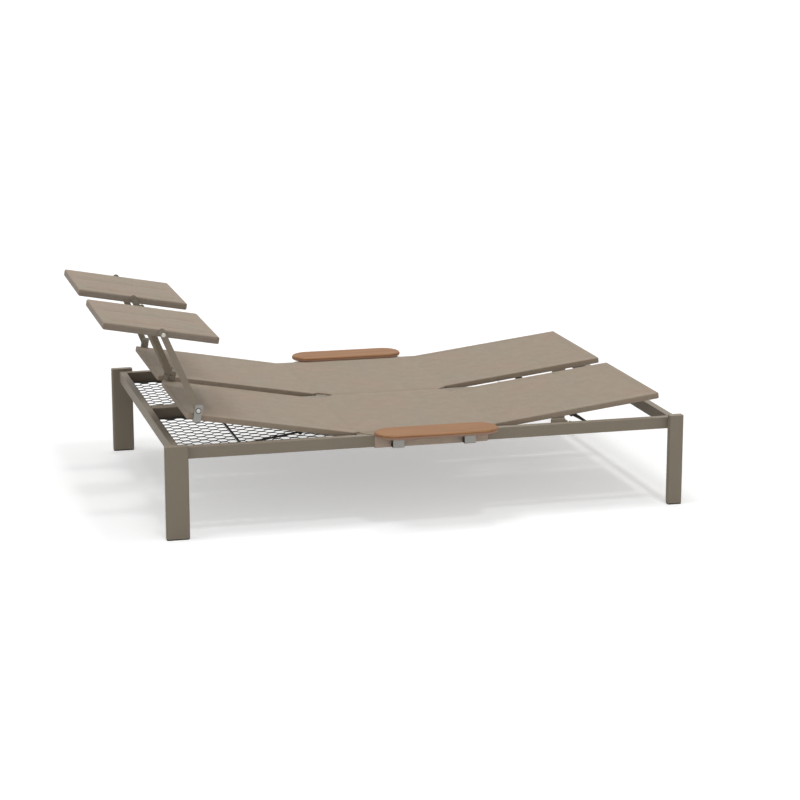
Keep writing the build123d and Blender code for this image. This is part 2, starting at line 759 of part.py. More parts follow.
def frame_nodes():
    """Pieces of the fixed frame, for the far side or for the middle."""
    middle = {
        "head_rail": [tube_along_y((head_rail_setback, head_rail_inner), (-rail_outer, rail_outer))],
        "foot_rail": [tube_along_y((foot_rail_inner, foot_rail_outer), (-rail_outer, rail_outer))],
        "middle_bolts": middle_bolts(),
    }
    sided = {
        "head_leg": [leg((0, head_leg_width), head_leg_corner)],
        "foot_leg": [leg((frame_length - foot_leg_width, frame_length), foot_leg_corner)],
        "side_rail": [side_rail()],
        "middle_rail": [middle_rail()],
        "mesh_tray": [mesh()],
        "seat_sling": [seat_sling()],
        "armrest": [armrest()],
        "armrest_clips": armrest_clips(),
    }
    shared = {
        "leg_glides": [glide((0, head_leg_width), head_leg_corner),
                       glide((frame_length - foot_leg_width, frame_length), foot_leg_corner)],
        "head_cross_bars": [tube_along_y((seat_head, seat_head + cross_bar_width), (beam_side, rail_inner))],
        "foot_cross_bars": [tube_along_y((seat_foot - cross_bar_width, seat_foot), (beam_side, rail_inner))],
        "back_racks": back_racks(),
        "leg_rest_racks": leg_racks(),
        "hinge_pins": hinge_pins(),
        "armrest_screws": clip_screws("rail", screw_head_radius) + clip_screws("board", screw_head_radius),
    }
    return middle, sided, shared


def lounger_nodes():
    """Pieces of one lounger that move."""
    back_x = (back_hinge_x - back_reach, back_hinge_x + panel_tail)
    leg_x = (leg_hinge_x - panel_tail, leg_hinge_x + leg_reach)
    back_cover, back_frame, back_ears = panel_parts(back_x, back_hinge_x, back_stay_x)
    leg_cover, leg_frame, leg_ears = panel_parts(leg_x, leg_hinge_x, leg_stay_x)
    canopy_cover, canopy_frame = canopy_parts()
    inner_knob_face = arm_sides(-1)[1] - arm_thickness / 2
    return {
        "back_sleeve": [back_up(back_cover)],
        "back_frame": [back_up(back_frame)],
        "back_stay_ears": [back_up(ear) for ear in back_ears],
        "canopy_brackets": [back_up(canopy_bracket(1)), back_up(canopy_bracket(-1))],
        "back_stay": [stay_at_rest(back_stay_x, -back_stay_run, back_stay_fall,
                                   back_hinge_x, back_angle)],
        "leg_rest_sleeve": [legs_up(leg_cover)],
        "leg_rest_frame": [legs_up(leg_frame)],
        "leg_rest_stay_ears": [legs_up(ear) for ear in leg_ears],
        "leg_rest_stay": [stay_at_rest(leg_stay_x, leg_stay_run, leg_stay_fall,
                                       leg_hinge_x, -leg_angle)],
        "canopy_arm_outer": [canopy_arm(1)],
        "canopy_arm_inner": [canopy_arm(-1)],
        "canopy_bolts": arm_bolts(),
        "canopy_sleeve": [canopy_cover],
        "canopy_frame": [canopy_frame],
        "lower_knob_outer": [knob(bolt_rest_x, bolt_rest_z, panel_outer, -1)],
        "lower_knob_inner": [knob(bolt_rest_x, bolt_rest_z, panel_inner, 1)],
        "upper_knob": [knob(canopy_pivot_x, canopy_pivot_z, inner_knob_face, -1)],
    }


def near_side(shape):
    return mirror(shape, about=Plane.XZ)


def all_nodes():
    middle, sided, shared = frame_nodes()
    nodes = dict(middle)
    sided.update(lounger_nodes())
    for name, solids in sided.items():
        nodes[name + "_far"] = solids
        nodes[name + "_near"] = [near_side(solid) for solid in solids]
    for name, solids in shared.items():
        nodes[name] = solids + [near_side(solid) for solid in solids]
    return nodes


# The origin is on the floor, under the middle of the whole object.
nodes = all_nodes()
whole = Compound(children=[Compound(children=[solid.solid() for solid in solids])
                           for solids in nodes.values()]).bounding_box()
origin_x = (whole.min.X + whole.max.X) / 2
os.makedirs("parts", exist_ok=True)
for name, solids in nodes.items():
    moved = [Pos(-origin_x, 0, 0) * solid.solid() for solid in solids]
    shape = moved[0] if len(moved) == 1 else Compound(children=moved)
    export_step(shape, "parts/" + name + ".step")
print("nodes", len(nodes), "origin x", round(origin_x, 3), "size", whole.size)
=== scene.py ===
import json
import math

import bpy
from mathutils import Matrix, Vector


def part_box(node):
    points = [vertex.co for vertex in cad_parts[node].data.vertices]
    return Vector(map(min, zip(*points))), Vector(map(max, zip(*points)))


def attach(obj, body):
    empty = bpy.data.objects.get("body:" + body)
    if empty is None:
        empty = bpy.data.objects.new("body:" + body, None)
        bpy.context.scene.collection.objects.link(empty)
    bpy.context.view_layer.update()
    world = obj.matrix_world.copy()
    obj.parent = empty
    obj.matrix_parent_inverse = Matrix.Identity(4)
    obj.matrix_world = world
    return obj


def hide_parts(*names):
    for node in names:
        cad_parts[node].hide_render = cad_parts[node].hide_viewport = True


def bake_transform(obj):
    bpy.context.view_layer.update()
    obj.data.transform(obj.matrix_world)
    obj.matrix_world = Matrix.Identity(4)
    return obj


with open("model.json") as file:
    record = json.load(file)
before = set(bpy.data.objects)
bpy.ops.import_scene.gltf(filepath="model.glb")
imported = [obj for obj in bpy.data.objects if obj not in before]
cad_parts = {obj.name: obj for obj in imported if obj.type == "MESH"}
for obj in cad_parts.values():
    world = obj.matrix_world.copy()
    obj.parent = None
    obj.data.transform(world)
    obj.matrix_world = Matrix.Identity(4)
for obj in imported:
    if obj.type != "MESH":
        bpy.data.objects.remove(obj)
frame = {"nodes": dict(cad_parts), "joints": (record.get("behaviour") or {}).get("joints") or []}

nodes = frame["nodes"]
joints = {joint["name"]: joint for joint in frame["joints"]}
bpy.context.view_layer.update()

# The camera stands back from the near side with a long lens, a little above the canopies.
# Its place and angle come from the vanishing points of the rails and legs in the photograph.
# The long lens keeps the far lounger almost as large as the near one.
camera_before_head = 1.2363
camera_side = 8.6952
camera_height = 2.3617
camera_pitch = math.radians(77.144)
camera_heading = math.radians(-14.826)
camera_lens = 103.36
camera_sensor = 36.0
camera_sight = 400.0

head_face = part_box("head_leg_far")[0].x
camera_place = (head_face - camera_before_head, -camera_side, camera_height)
bpy.ops.object.select_all(action="DESELECT")
bpy.ops.object.camera_add(location=camera_place, rotation=(camera_pitch, 0.0, camera_heading))
camera = bpy.context.object
camera.name = "photo_camera"
camera.data.lens = camera_lens
camera.data.sensor_width = camera_sensor
camera.data.clip_end = camera_sight
bpy.context.scene.camera = camera
bpy.context.scene.view_settings.view_transform = "Standard"

# The studio floor is matt white board, as in a product picture.
# The lens sees it lifted to white, so that only a pale shadow is left under the frame.
floor_size = 240.0
floor_hex = "#D4D4D4"
floor_seen_hex = "#EDEDED"
floor_lift = 0.375


def linear(hex_colour):
    """The linear RGBA of an sRGB hex colour."""
    parts = [int(hex_colour[i:i + 2], 16) / 255 for i in (1, 3, 5)]
    return [p / 12.92 if p <= 0.04045 else ((p + 0.055) / 1.055) ** 2.4 for p in parts] + [1.0]


def add_node(tree, kind, settings=None, **links):
    """A node with its settings and inputs; i0 is the first input, and an underscore is a space."""
    node = tree.nodes.new(kind)
    for name, value in (settings or {}).items():
        setattr(node, name, value)
    for name, value in links.items():
        key = int(name[1:]) if name[0] == "i" and name[1:].isdigit() else name.replace("_", " ")
        if isinstance(value, bpy.types.NodeSocket):
            tree.links.new(value, node.inputs[key])
        else:
            node.inputs[key].default_value = value
    return node


def mix_colours(tree, share, first, second):
    """The first colour at a share of 0 and the second at 1."""
    mix = add_node(tree, "ShaderNodeMix", {"data_type": "RGBA"}, Factor=share, i6=first, i7=second)
    return mix.outputs[2]


def seen_directly(tree):
    """1 for what the lens or a mirror sees, 0 for light on its way to other pieces."""
    path = add_node(tree, "ShaderNodeLightPath")
    seen = add_node(tree, "ShaderNodeMath", {"operation": "MAXIMUM"},
                    i0=path.outputs["Is Camera Ray"], i1=path.outputs["Is Glossy Ray"])
    return seen.outputs[0]


def new_material(name):
    """An empty node material and its tree."""
    material = bpy.data.materials.new(name)
    material.use_nodes = True
    material.node_tree.nodes.clear()
    return material, material.node_tree


bpy.ops.mesh.primitive_plane_add(size=floor_size, location=(0.0, 0.0, 0.0))
floor = bpy.context.object
floor.name = "studio_floor"
material, tree = new_material("matt_white_board")
path = add_node(tree, "ShaderNodeLightPath")
white = mix_colours(tree, path.outputs["Is Camera Ray"], linear(floor_hex), linear(floor_seen_hex))
paint = add_node(tree, "ShaderNodeBsdfDiffuse", Color=white, Roughness=0.9)
lift = add_node(tree, "ShaderNodeMath", {"operation": "MULTIPLY"},
                i0=seen_directly(tree), i1=floor_lift)
glow = add_node(tree, "ShaderNodeEmission", Color=linear("#FFFFFF"), Strength=lift.outputs[0])
both = add_node(tree, "ShaderNodeAddShader", i0=paint.outputs[0], i1=glow.outputs[0])
add_node(tree, "ShaderNodeOutputMaterial", Surface=both.outputs[0])
floor.data.materials.append(material)

# The sky is a light tent, brighter near the horizon than overhead, and dimmer at the head end.
# Only its light is graded: the lens and mirrors see it plain white.
horizon_strength = 0.95
zenith_strength = 0.12
head_share = 0.8
foot_share = 1.12

world = bpy.data.worlds.new("studio_sky")
bpy.context.scene.world = world
world.use_nodes = True
world.node_tree.nodes.clear()
tree = world.node_tree
ray = add_node(tree, "ShaderNodeTexCoord").outputs["Generated"]
ray_split = add_node(tree, "ShaderNodeSeparateXYZ", Vector=ray)
rise = add_node(tree, "ShaderNodeMapRange", Value=ray_split.outputs["Z"],
                To_Min=horizon_strength, To_Max=zenith_strength)
ends = add_node(tree, "ShaderNodeMapRange", Value=ray_split.outputs["X"], From_Min=-1.0,
                To_Min=head_share, To_Max=foot_share)
tent = add_node(tree, "ShaderNodeMath", {"operation": "MULTIPLY"},
                i0=rise.outputs[0], i1=ends.outputs[0])
level = add_node(tree, "ShaderNodeMapRange", Value=seen_directly(tree), To_Min=tent.outputs[0],
                 To_Max=1.0)
sky = add_node(tree, "ShaderNodeBackground", Color=linear("#FFFFFF"), Strength=level.outputs[0])
add_node(tree, "ShaderNodeOutputWorld", Surface=sky.outputs[0])

# Each lamp has its tilt, its lean and the angle that it fills, in degrees, and its strength.
# The broad one is like a bright ceiling, and the head lamp draws the canopies' shadows on the
# backs. The two narrow ones draw the sharper lines of shadow on the floor.
lamps = {"broad_lamp": (-14.0, 3.0, 115.0, 0.52), "head_lamp": (0.0, -14.5, 17.0, 0.6),
         "far_lamp": (-8.5, 3.0, 7.0, 0.36), "near_lamp": (20.3, 3.0, 6.0, 0.3)}
lamp_height = 4.0

for name, (tilt, lean, spread, strength) in lamps.items():
    rotation = (math.radians(tilt), math.radians(lean), 0.0)
    bpy.ops.object.light_add(type="SUN", location=(0.0, 0.0, lamp_height), rotation=rotation)
    lamp = bpy.context.object
    lamp.name = name
    lamp.data.energy = strength
    lamp.data.angle = math.radians(spread)

# The welded frame is extruded aluminium tube with a satin polyester powder coat, taupe.
# Powder coat cures to a faint orange-peel skin, a millimetre or two from dimple to dimple.
# Every tube keeps its CAD form: legs, rails, cross bars and the leg rest racks.
frame_hex = "#958A7A"
frame_dark_hex = "#8E8373"
frame_roughness = 0.56
peel_pitch = 0.0016
peel_depth = 0.0002
coat_cloud = 0.12
gloss_drift = 0.04


def powder_coat(name, hex_colour, dark_hex, roughness):
    """Satin powder coat: even colour with slow clouding, and an orange-peel skin."""
    material, tree = new_material(name)
    place = add_node(tree, "ShaderNodeTexCoord").outputs["Object"]
    cloud = add_node(tree, "ShaderNodeTexNoise", Vector=place, Scale=1 / coat_cloud, Detail=3.0)
    tint = mix_colours(tree, cloud.outputs["Fac"], linear(dark_hex), linear(hex_colour))
    peel = add_node(tree, "ShaderNodeTexNoise", Vector=place, Scale=1 / peel_pitch, Detail=1.0)
    skin = add_node(tree, "ShaderNodeBump", Height=peel.outputs["Fac"], Strength=0.12,
                    Distance=peel_depth)
    gloss = add_node(tree, "ShaderNodeMapRange", Value=cloud.outputs["Fac"],
                     To_Min=roughness - gloss_drift, To_Max=roughness + gloss_drift)
    coat = add_node(tree, "ShaderNodeBsdfPrincipled", Base_Color=tint, Metallic=0.0,
                    Roughness=gloss.outputs[0], Specular_IOR_Level=0.35, Normal=skin.outputs[0])
    add_node(tree, "ShaderNodeOutputMaterial", Surface=coat.outputs[0])
    return material


def finish_nodes(names, material):
    """Give CAD nodes a finish; a name without its side means both sides."""
    for name in names:
        for key in (name, name + "_near", name + "_far"):
            if key in nodes:
                nodes[key].data.materials.clear()
                nodes[key].data.materials.append(material)


taupe_coat = powder_coat("taupe_powder_coated_aluminium", frame_hex, frame_dark_hex,
                         frame_roughness)
finish_nodes(["head_rail", "foot_rail", "middle_rail", "side_rail", "head_leg", "foot_leg",
              "head_cross_bars", "foot_cross_bars", "leg_rest_racks"], taupe_coat)

# Glides under the legs are moulded polyamide, near black and matt, with a fine spark-eroded grain.
# They close the ends of the leg tubes and keep the coat off the floor.
glide_hex = "#35322E"
glide_roughness = 0.6
grain_pitch = 0.0009
grain_depth = 0.0002
grain_contrast = 0.15


def moulded_plastic(name, hex_colour, roughness):
    """Matt moulded plastic with a fine grain."""
    material, tree = new_material(name)
    place = add_node(tree, "ShaderNodeTexCoord").outputs["Object"]
    grain = add_node(tree, "ShaderNodeTexNoise", Vector=place, Scale=1 / grain_pitch, Detail=2.0)
    shade = add_node(tree, "ShaderNodeMapRange", Value=grain.outputs["Fac"],
                     To_Min=1.0 - grain_contrast, To_Max=1.0 + grain_contrast)
    tone = add_node(tree, "ShaderNodeVectorMath", {"operation": "SCALE"},
                    i0=linear(hex_colour)[:3], Scale=shade.outputs[0])
    skin = add_node(tree, "ShaderNodeBump", Height=grain.outputs["Fac"], Strength=0.3,
                    Distance=grain_depth)
    body = add_node(tree, "ShaderNodeBsdfPrincipled", Base_Color=tone.outputs[0],
                    Roughness=roughness, IOR=1.5, Normal=skin.outputs[0])
    add_node(tree, "ShaderNodeOutputMaterial", Surface=body.outputs[0])
    return material


finish_nodes(["leg_glides"],
             moulded_plastic("black_moulded_polyamide", glide_hex, glide_roughness))

# The trays under the backs are expanded steel: one sheet slit and stretched into diamonds.
# A dark powder coat fills the cut edges, so the strands read nearly black against the floor.
tray_hex = "#3F3C3A"
tray_dark_hex = "#353331"
tray_roughness = 0.5
finish_nodes(["mesh_tray"], powder_coat("dark_powder_coated_expanded_steel", tray_hex,
                                        tray_dark_hex, tray_roughness))

# The stays and their ears, the backs' racks and the hinge pins are black zinc-plated steel.
# It is matt, with faint brown clouds. Stays are bent round bar; racks are notched flat bar.
black_hex = "#3C3833"
black_dark_hex = "#2E2B27"
black_roughness = 0.42
black_zinc = powder_coat("black_zinc_plated_steel", black_hex, black_dark_hex, black_roughness)
finish_nodes(["back_racks", "back_stay", "leg_rest_stay", "hinge_pins", "back_stay_ears",
              "leg_rest_stay_ears"], black_zinc)

# The armrest clips and canopy brackets are stainless steel, brushed along x; the bolts are
# brighter. Brush lines are about half a millimetre apart, and drawn at one millimetre to show.
clip_hex = "#A3A19C"
clip_dark_hex = "#8F8D88"
clip_roughness = 0.42
bolt_hex = "#D2D0CB"
bolt_dark_hex = "#BFBDB8"
bolt_roughness = 0.35
brush_pitch = 0.001
brush_length = 0.06
brush_depth = 0.0001


def brushed_steel(name, hex_colour, dark_hex, roughness):
    """Stainless steel with fine brush lines along x."""
    material, tree = new_material(name)
    place = add_node(tree, "ShaderNodeTexCoord").outputs["Object"]
    lines = add_node(tree, "ShaderNodeMapping", Vector=place,
                     Scale=(1 / brush_length, 1 / brush_pitch, 1 / brush_pitch))
    brush = add_node(tree, "ShaderNodeTexNoise", Vector=lines.outputs[0], Scale=1.0, Detail=3.0)
    tint = mix_colours(tree, brush.outputs["Fac"], linear(dark_hex), linear(hex_colour))
    skin = add_node(tree, "ShaderNodeBump", Height=brush.outputs["Fac"], Strength=0.15,
                    Distance=brush_depth)
    steel = add_node(tree, "ShaderNodeBsdfPrincipled", Base_Color=tint, Metallic=1.0,
                     Roughness=roughness, Normal=skin.outputs[0])
    add_node(tree, "ShaderNodeOutputMaterial", Surface=steel.outputs[0])
    return material


finish_nodes(["armrest_clips", "canopy_brackets"],
             brushed_steel("brushed_stainless_steel", clip_hex, clip_dark_hex, clip_roughness))
finish_nodes(["armrest_screws", "canopy_bolts", "middle_bolts"],
             brushed_steel("bright_bolt_steel", bolt_hex, bolt_dark_hex, bolt_roughness))

# The brackets beside the middle are coated like the frame; only the outer ones are left bright.
# A dark washer shows as a ring round the head of each lower canopy bolt.
inner_limit = 0.3
washer_radius = 0.0105
washer_out = 0.0009
washer_in = 0.0003
washer_facets = 48
smooth_angle = math.radians(35.0)

for side in ("far", "near"):
    bracket = nodes["canopy_brackets_" + side]
    bracket.data.materials.append(taupe_coat)
    for face in bracket.data.polygons:
        face.material_index = int(abs(face.center.y) < inner_limit)
    bolt = joints["canopy_arm_swing_" + side]["pos_m"]
    low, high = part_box("canopy_brackets_" + side)
    rings = []
    for plate, out in ((low.y, -1.0), (high.y, 1.0)):
        middle = plate + out * (washer_out - washer_in) / 2
        bpy.ops.mesh.primitive_cylinder_add(
            vertices=washer_facets, radius=washer_radius, depth=washer_out + washer_in,
            location=(bolt[0], middle, bolt[2]), rotation=(math.radians(90.0), 0.0, 0.0))
        rings.append(bpy.context.object)
    for ring in rings:
        ring.select_set(True)
    bpy.ops.object.join()
    bpy.ops.object.transform_apply(location=True, rotation=True, scale=True)
    washers = bpy.context.object
    washers.name = "bolt_washers_" + side
    washers.data.name = washers.name
    washers.data.materials.append(black_zinc)
    bpy.ops.object.shade_smooth_by_angle(angle=smooth_angle)
    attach(washers, "back_" + side)

# Canopy arms are flat aluminium bar in the frame's powder coat, cranked sideways to the canopy.
# Their coat is a shade darker than the tubes', as flat bar comes from another batch.
arm_hex = "#918675"
arm_dark_hex = "#897E6E"
arm_roughness = 0.5
finish_nodes(["canopy_arm_outer", "canopy_arm_inner"],
             powder_coat("taupe_powder_coated_flat_bar", arm_hex, arm_dark_hex, arm_roughness))

# Clamp knobs are moulded glass-filled nylon, dark taupe, lobed for the fingers.
# They keep their CAD form, and have the same moulded grain as the glides.
knob_hex = "#83796A"
knob_roughness = 0.5
finish_nodes(["lower_knob_outer", "lower_knob_inner", "upper_knob"],
             moulded_plastic("dark_taupe_nylon", knob_hex, knob_roughness))

# Inside each cover is a frame of mill-finish aluminium tube.
# The cloth covers it; only the canopies' cloth is hung on their bodies and moves with them.
inner_hex = "#9C9A96"
inner_dark_hex = "#8E8C88"
inner_roughness = 0.5
finish_nodes(["back_frame", "leg_rest_frame", "canopy_frame"],
             brushed_steel("mill_finish_aluminium", inner_hex, inner_dark_hex, inner_roughness))

# Armrests are solid teak boards, oiled and sanded, with round ends and soft edges.
# The grain runs along the board: growth bands some 9 mm apart, and pores as fine dark dashes.
# Below a dark line of painted shade along its side, where the round edge turns from the lamps,
# the board is painted paler: painted light bounced up from the floor.
teak_light_hex = "#A97B51"
teak_mid_hex = "#9C6F48"
teak_dark_hex = "#885D39"
band_pitch = 0.009
band_length = 0.35
pore_pitch = 0.0009
pore_length = 0.018
pore_depth = 0.0002
pore_shade = 0.82
painted_bounce_hex = "#AC8976"
painted_line_rise = 0.0115
line_width = 0.0035
painted_line_shade = 0.72

teak, tree = new_material("oiled_teak")
place = add_node(tree, "ShaderNodeTexCoord").outputs["Object"]
run = add_node(tree, "ShaderNodeMapping", Vector=place,
               Scale=(1 / band_length, 1 / band_pitch, 1 / band_pitch))
bands = add_node(tree, "ShaderNodeTexNoise", Vector=run.outputs[0], Scale=1.0, Detail=4.0,
                 Roughness=0.6, Distortion=0.6)
short_run = add_node(tree, "ShaderNodeMapping", Vector=place,
                     Scale=(1 / pore_length, 1 / pore_pitch, 1 / pore_pitch))
pores = add_node(tree, "ShaderNodeTexNoise", Vector=short_run.outputs[0], Scale=1.0, Detail=2.0)
ramp = add_node(tree, "ShaderNodeValToRGB", Fac=bands.outputs["Fac"])
ramp.color_ramp.elements[0].position = 0.3
ramp.color_ramp.elements[0].color = linear(teak_dark_hex)
ramp.color_ramp.elements[1].position = 0.7
ramp.color_ramp.elements[1].color = linear(teak_light_hex)
middle = ramp.color_ramp.elements.new(0.5)
middle.color = linear(teak_mid_hex)
dash = add_node(tree, "ShaderNodeMapRange", Value=pores.outputs["Fac"], From_Min=0.3,
                From_Max=0.45, To_Min=pore_shade, To_Max=1.0)
grain = add_node(tree, "ShaderNodeVectorMath", {"operation": "SCALE"}, Vector=ramp.outputs[0],
                 Scale=dash.outputs[0])
# The painted shade line and the painted light below it sit at a fixed height over the board's
# bottom.
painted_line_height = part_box("armrest_far")[0].z + painted_line_rise
height = add_node(tree, "ShaderNodeSeparateXYZ", Vector=place).outputs["Z"]
above_painted_line = add_node(tree, "ShaderNodeMapRange", {"interpolation_type": "SMOOTHSTEP"}, Value=height,
                 From_Min=painted_line_height - line_width, From_Max=painted_line_height)
teak_with_painted_bounce = mix_colours(tree, above_painted_line.outputs[0], linear(painted_bounce_hex), grain.outputs[0])
above_line = add_node(tree, "ShaderNodeMath", {"operation": "SUBTRACT"}, i0=height, i1=painted_line_height)
off_line = add_node(tree, "ShaderNodeMath", {"operation": "ABSOLUTE"}, i0=above_line.outputs[0])
line = add_node(tree, "ShaderNodeMapRange", Value=off_line.outputs[0], From_Max=line_width,
                To_Min=painted_line_shade, To_Max=1.0)
wood = add_node(tree, "ShaderNodeVectorMath", {"operation": "SCALE"}, Vector=teak_with_painted_bounce,
                Scale=line.outputs[0])
skin = add_node(tree, "ShaderNodeBump", Height=dash.outputs[0], Strength=0.2, Distance=pore_depth)
board = add_node(tree, "ShaderNodeBsdfPrincipled", Base_Color=wood.outputs[0], Roughness=0.6,
                 Specular_IOR_Level=0.3, Normal=skin.outputs[0])
add_node(tree, "ShaderNodeOutputMaterial", Surface=board.outputs[0])
finish_nodes(["armrest"], teak)

# All covers are a plain weave of coated polyester yarn, greige, with faint streaks both ways
# where a thread runs thick, and slow patches that lean to pink or to green. Real threads lie
# 1.2 mm apart; they are drawn 2.4 mm apart, or the picture would not show them.
cloth_hex = "#A79885"
cloth_dark_hex = "#9B8C7B"
# The darker copy is painted shade, for the canopies' side bands and their seam lines.
painted_shade_hex = "#978A7B"
painted_shade_dark_hex = "#8D7F72"
# The paler copy is painted light, for the cloth round the rail's outside, in the armrest's shadow.
painted_light_wrap_hex = "#CDBBAA"
painted_light_wrap_dark_hex = "#BEAC9B"
thread_pitch = 0.0024
weave_depth = 0.0004
slub_width = 0.004
slub_length = 0.09
cloth_cloud = 0.05
dye_patch = 0.22
pink_tint = (1.03, 0.985, 0.99, 1.0)
green_tint = (0.98, 1.01, 1.0, 1.0)


def woven_cloth(name, hex_colour, dark_hex):
    """Plain weave on the piece's own UV map, whose unit is a metre."""
    material, tree = new_material(name)
    uv = add_node(tree, "ShaderNodeUVMap").outputs[0]
    split = add_node(tree, "ShaderNodeSeparateXYZ", Vector=uv)
    waves = []
    for axis in ("X", "Y"):
        turn = add_node(tree, "ShaderNodeMath", {"operation": "MULTIPLY"},
                        i0=split.outputs[axis], i1=2 * math.pi / thread_pitch)
        waves.append(add_node(tree, "ShaderNodeMath", {"operation": "SINE"}, i0=turn.outputs[0]))
    weave = add_node(tree, "ShaderNodeMath", {"operation": "MULTIPLY"},
                     i0=waves[0].outputs[0], i1=waves[1].outputs[0])
    streaks = []
    for scale in ((1 / slub_length, 1 / slub_width, 1.0), (1 / slub_width, 1 / slub_length, 1.0)):
        run = add_node(tree, "ShaderNodeMapping", Vector=uv, Scale=scale)
        streaks.append(add_node(tree, "ShaderNodeTexNoise", Vector=run.outputs[0], Scale=1.0,
                                Detail=2.0))
    slub = add_node(tree, "ShaderNodeMath", {"operation": "ADD"},
                    i0=streaks[0].outputs["Fac"], i1=streaks[1].outputs["Fac"])
    cloud = add_node(tree, "ShaderNodeTexNoise", Vector=uv, Scale=1 / cloth_cloud, Detail=3.0)
    tone = add_node(tree, "ShaderNodeMath", {"operation": "ADD"},
                    i0=slub.outputs[0], i1=cloud.outputs["Fac"])
    level = add_node(tree, "ShaderNodeMapRange", Value=tone.outputs[0], From_Min=1.1, From_Max=1.9)
    tint = mix_colours(tree, level.outputs[0], linear(dark_hex), linear(hex_colour))
    knit = add_node(tree, "ShaderNodeMapRange", Value=weave.outputs[0], From_Min=-1.0,
                    To_Min=0.93, To_Max=1.03)
    yarn = add_node(tree, "ShaderNodeVectorMath", {"operation": "SCALE"}, Vector=tint,
                    Scale=knit.outputs[0])
    patch = add_node(tree, "ShaderNodeTexNoise", Vector=uv, Scale=1 / dye_patch, Detail=1.0)
    lean = add_node(tree, "ShaderNodeMapRange", Value=patch.outputs["Fac"], From_Min=0.35,
                    From_Max=0.65)
    dye = mix_colours(tree, lean.outputs[0], green_tint, pink_tint)
    colour = add_node(tree, "ShaderNodeVectorMath", {"operation": "MULTIPLY"},
                      i0=yarn.outputs[0], i1=dye)
    skin = add_node(tree, "ShaderNodeBump", Height=weave.outputs[0], Strength=0.35,
                    Distance=weave_depth)
    cloth = add_node(tree, "ShaderNodeBsdfPrincipled", Base_Color=colour.outputs[0],
                     Roughness=0.82, Specular_IOR_Level=0.3, Sheen_Weight=0.1,
                     Sheen_Roughness=0.5, Normal=skin.outputs[0])
    add_node(tree, "ShaderNodeOutputMaterial", Surface=cloth.outputs[0])
    return material


greige_cloth = woven_cloth("greige_woven_sling", cloth_hex, cloth_dark_hex)
painted_shade_cloth = woven_cloth("woven_cloth_painted_shade", painted_shade_hex, painted_shade_dark_hex)
painted_light_wrap_cloth = woven_cloth("woven_wrap_painted_light", painted_light_wrap_hex, painted_light_wrap_dark_hex)

# Backs and leg rests wear the sling cloth as a sleeve over a flat tube frame, taut on the tubes
# and dipping a little between them. It runs on over the hinge to the seat in one piece, and
# bends just past the hinge tube, so neither tube nor gap shows.
back_reach = 0.627
leg_reach = 0.662
back_degrees = 10.0
leg_degrees = 7.0
seat_hinge_gap = 0.016
panel_thickness = 0.022
panel_corner = 0.007
panel_edge = 0.003
panel_tail = 0.009
panel_inner = 0.048
panel_outer = 0.636
corner_steps = 5
edge_steps = 4
edge_margin = 0.004
seat_cloth = 0.006
cloth_sag = 0.0022
sag_run = 0.1
tube_width = 0.024
tube_slope = 0.012
station_gap = 0.03
crease_gap = 0.0025
crease_back = 0.006
touching = 1e-5
on_top = 1e-4
facing = 0.9


def new_block(name, low, high):
    """A cube primitive between two corners, its place in its mesh."""
    bpy.ops.object.select_all(action="DESELECT")
    low = Vector(low)
    high = Vector(high)
    bpy.ops.mesh.primitive_cube_add(size=1.0, location=(low + high) / 2)
    block = bpy.context.object
    block.name = name
    block.data.name = name
    block.scale = high - low
    bpy.ops.object.transform_apply(location=True, rotation=True, scale=True)
    return block


def meets(place, other):
    """True where two places along an axis are the same."""
    return abs(place - other) < touching


def pick_faces(piece, test):
    """Go into edit mode with the faces whose centre and normal pass the test selected."""
    bpy.ops.object.mode_set(mode="EDIT")
    bpy.context.tool_settings.mesh_select_mode = (False, False, True)
    bpy.ops.mesh.select_all(action="DESELECT")
    bpy.ops.object.mode_set(mode="OBJECT")
    for face in piece.data.polygons:
        face.select = test(face.center, face.normal)
    bpy.ops.object.mode_set(mode="EDIT")


def pick_edges(piece, test):
    """Go into edit mode with the edges whose two ends pass the test selected."""
    bpy.ops.object.mode_set(mode="EDIT")
    bpy.context.tool_settings.mesh_select_mode = (False, True, False)
    bpy.ops.mesh.select_all(action="DESELECT")
    bpy.ops.object.mode_set(mode="OBJECT")
    points = piece.data.vertices
    for edge in piece.data.edges:
        a, b = edge.vertices
        edge.select = test(points[a].co, points[b].co)
    bpy.ops.object.mode_set(mode="EDIT")


def push_out(move):
    """Extrude the selected faces by a move."""
    bpy.ops.mesh.extrude_region_move(TRANSFORM_OT_translate={"value": move})


def slice_piece(axis, stations):
    """Cut edge lines across the whole piece, at each station along an axis."""
    normal = [float(axis == i) for i in range(3)]
    for station in stations:
        bpy.ops.mesh.select_all(action="SELECT")
        bpy.ops.mesh.bisect(plane_co=[station * n for n in normal], plane_no=normal)


def steps_between(low, high, gap):
    """Even steps no longer than the gap, without the two ends."""
    count = max(1, math.ceil(abs(high - low) / gap))
    return [low + (high - low) * i / count for i in range(1, count)]


def smooth_step(low, high, value):
    """0 below low and 1 above high, smooth between."""
    t = min(1.0, max(0.0, (value - low) / (high - low)))
    return t * t * (3 - 2 * t)


def map_in_metres(piece):
    """A UV map by faces, one unit to the metre, so that the weave follows the piece."""
    bpy.ops.object.mode_set(mode="EDIT")
    bpy.ops.mesh.select_all(action="SELECT")
    bpy.ops.uv.cube_project(cube_size=1.0, correct_aspect=False)
    bpy.ops.object.mode_set(mode="OBJECT")


def dress(piece, other_cloth, test):
    """The sling cloth all over, and another cloth on the faces that pass the test."""
    piece.data.materials.append(greige_cloth)
    piece.data.materials.append(other_cloth)
    for face in piece.data.polygons:
        if test(face.center, face.normal):
            face.material_index = 1


